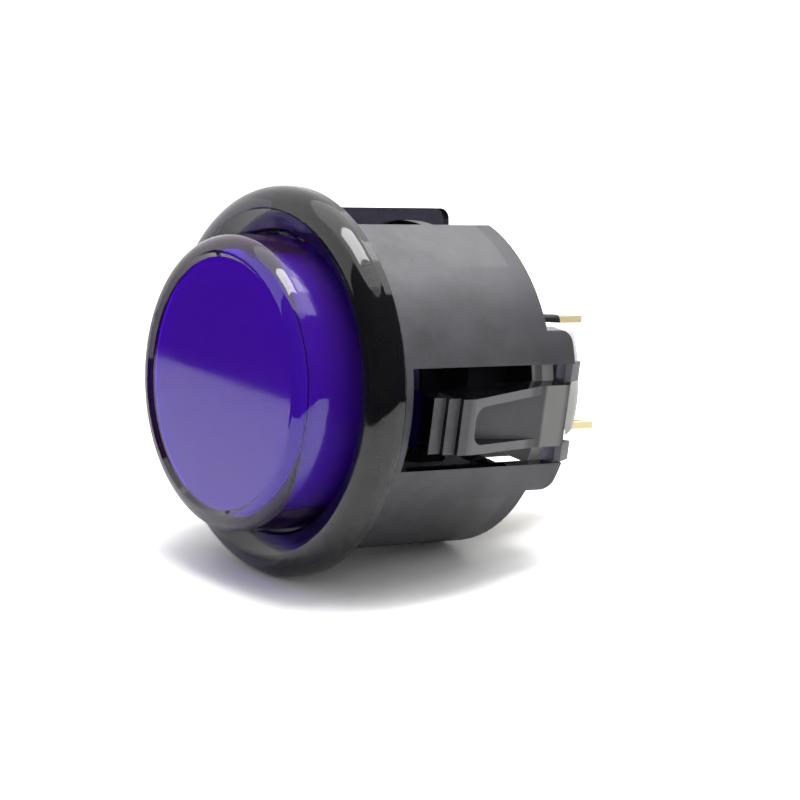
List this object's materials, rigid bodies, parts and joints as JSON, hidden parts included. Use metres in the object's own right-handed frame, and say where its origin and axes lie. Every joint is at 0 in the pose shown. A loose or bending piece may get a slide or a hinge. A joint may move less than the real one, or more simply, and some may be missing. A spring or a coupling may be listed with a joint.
{
  "type": "arcade push button",
  "caption": "Snap-in arcade push button: a sprung cap in a flanged barrel with side latches, a switch inside and two blade terminals at the rear.",
  "frame": {"origin": "on the button's axis, in the plane where the flange sits on the panel", "axes": "+Y along the axis towards the terminals, the way the cap is pressed; -Y towards the player; +X through one latch; +Z towards the upper terminal"},
  "size_m": [0.027, 0.0321, 0.0266],
  "materials": {
    "smoke_plastic": "glossy flange, finely textured barrel, see-through grey",
    "violet_plastic": "glossy, see-through violet",
    "insert_film": "matt printed film without a motif",
    "white_plastic": "satin",
    "switch_black": "satin",
    "slider_plastic": "satin",
    "gilt_brass": "gold plated, smooth",
    "contact_silver": "silver, bright",
    "spring_steel": "drawn wire",
    "screw_steel": "bright zinc"
  },
  "bodies": {
    "housing": {"housing": "smoke_plastic", "retainer": "white_plastic", "switch_case": "switch_black", "switch_cover": "switch_black", "cover_screw_upper": "screw_steel", "cover_screw_lower": "screw_steel", "terminal_upper": "gilt_brass", "terminal_lower": "gilt_brass", "fixed_contact_upper": "contact_silver", "fixed_contact_lower": "contact_silver", "return_spring": "spring_steel", "switch_spring": "spring_steel"},
    "plunger": {"cap": "violet_plastic", "face_insert": "insert_film", "plunger_carrier": "violet_plastic"},
    "slider": {"switch_slider": "slider_plastic", "contact_bridge": "gilt_brass", "moving_contact_upper": "contact_silver", "moving_contact_lower": "contact_silver", "contact_spring": "spring_steel"}
  },
  "joints": [
    {"name": "plunger_press", "type": "slide", "parent": "housing", "child": "plunger", "axis": [0, 1, 0], "range_m": [0, 0.0022], "stiffness_N_per_m": 140, "springref_m": -0.0025, "deforming": ["return_spring"]},
    {"name": "switch_press", "type": "slide", "parent": "housing", "child": "slider", "axis": [0, 1, 0], "range_m": [0, 0.0022], "stiffness_N_per_m": 60, "springref_m": -0.0025, "deforming": ["switch_spring"]}
  ],
  "couplings": [
    {"joint": "switch_press", "follows": "plunger_press", "ratio": 1}
  ]
}
